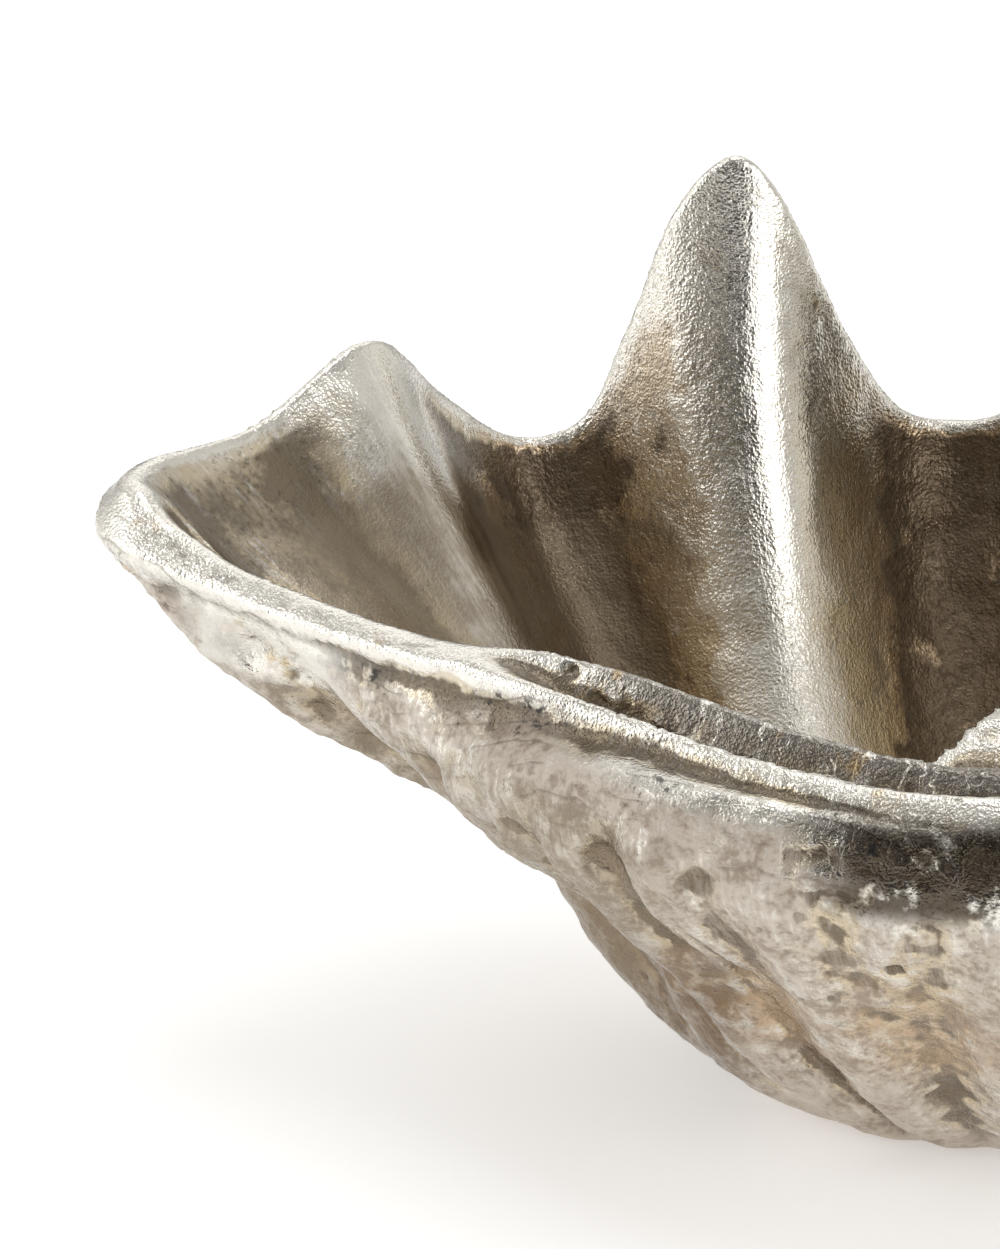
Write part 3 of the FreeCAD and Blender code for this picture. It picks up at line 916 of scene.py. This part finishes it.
# Painted highlight: near-white silver on the wing's underside near its tip, where a burned-out highlight
# falls.
painted_wing_highlight = front * shell_outside * band(gild, -side_x, *WING, 9 * MM)
painted_wing_highlight = painted_wing_highlight * band(gild, lip_rise, -30.0, -8.0, 4.0)
painted_wing_highlight = painted_wing_highlight * step(gild, blot + (patch - 0.5) * 0.8, 0.34, 0.5)
coat.lay(painted_wing_highlight * 0.9, SILVER)
varnish = cloud(gild, spot, 20.0, 3.0, 0.6, 9.0)
stain = front * fade(gild, lip_gap, 12.0, 24.0) * step(gild, varnish, 0.58, 0.7)
coat.lay(stain * 0.6, OCHRE)
print("nodes with the rim:", len(gild.tree.nodes))

# %% [markdown]
# A metal's look is mostly its bumps. Crinkled foil breaks every reflection into
# grains about a millimetre wide, so the finest relief is a bump of small noise, and
# the roughness varies from grain to grain. The lobes' faces are rubbed smoother.

# %% Crinkle the leaf and finish it
CRINKLE, PEBBLE = 1.0, 1.3  # millimetres across

bowl_floor = bowl * fade(gild, side_z, *BOWL_FLOOR)
polished = bowl * fade(gild, gully, 0.15, 0.5) * step(gild, side_z, *BOWL_WALL)
metal = 1 - chalky * 0.8 - dusty * 0.3 - in_pits * 0.3
rough = 0.22 - polished * 0.07 + (fine - 0.5) * 0.26 + deep * 0.06
rough = rough + bowl_floor * 0.18 + chalky * 0.3 + (dust - 0.5) * 0.2
pebbles = cloud(gild, spot, PEBBLE, 2.0, 0.6, 6.0)
crinkle = gild.add(
    "ShaderNodeTexVoronoi", {"voronoi_dimensions": "3D", "feature": "F1"}, output="Distance",
    Vector=spot, Scale=1.0 / (CRINKLE * MM),
)
skin = pebbles * 0.8 + crinkle * 0.35 + dust * 0.3 + streaks * 0.5 + blot * 0.8 - flecks * 0.15
skin = skin * (1 - polished * 0.6) + deep * blot * 1.6 + lower * fine * 1.4
bump = gild.add("ShaderNodeBump", Strength=0.75, Distance=0.6 * MM, Height=skin)
leaf_shader = gild.add(
    "ShaderNodeBsdfPrincipled",
    **{"Base Color": coat.colour, "Metallic": metal, "Roughness": rough, "Normal": bump},
)
gild.node("ShaderNodeOutputMaterial", Surface=leaf_shader)
shell.data.materials.clear()
shell.data.materials.append(leaf)
print("silver leaf nodes:", len(gild.tree.nodes))

# %% [markdown]
# ## The bumper pads
#
# Four clear-edged rubber discs keep the casting off the table. They are simple
# turned shapes, so the CAD's own pads stay, and only their finish is made here: a
# dull grey rubber with dust caught in it.

# %% Mix the pads' rubber
rubber = bpy.data.materials.new("pad_rubber")
rubber.use_nodes = True
rubber.node_tree.nodes.clear()
felt = Board(rubber.node_tree)
pad_spot = felt.add("ShaderNodeTexCoord", output="Object")
grime = cloud(felt, pad_spot, 2.5, 3.0, 0.6, 1.0)
specks = cloud(felt, pad_spot, 0.5, 2.0, 0.6, 2.0)
rubber_colour = mix(felt, step(felt, grime, 0.4, 0.7) * 0.6, shade("4d4b48"), shade("6d6a64"))
rubber_bump = felt.add("ShaderNodeBump", Strength=0.3, Distance=0.1 * MM, Height=specks)
rubber_shader = felt.add(
    "ShaderNodeBsdfPrincipled",
    **{"Base Color": rubber_colour, "Roughness": 0.55 + specks * 0.3, "Normal": rubber_bump},
)
felt.node("ShaderNodeOutputMaterial", Surface=rubber_shader)
pads = [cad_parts[f"bumper_pad_{number}"] for number in range(1, 5)]
for pad in pads:
    if not pad.material_slots:
        pad.data.materials.append(rubber)
    for slot in pad.material_slots:
        slot.material = rubber
print("pads finished:", len(pads))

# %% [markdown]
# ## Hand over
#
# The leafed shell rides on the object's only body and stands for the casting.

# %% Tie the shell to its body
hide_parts("shell_casting")
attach(shell, "root")
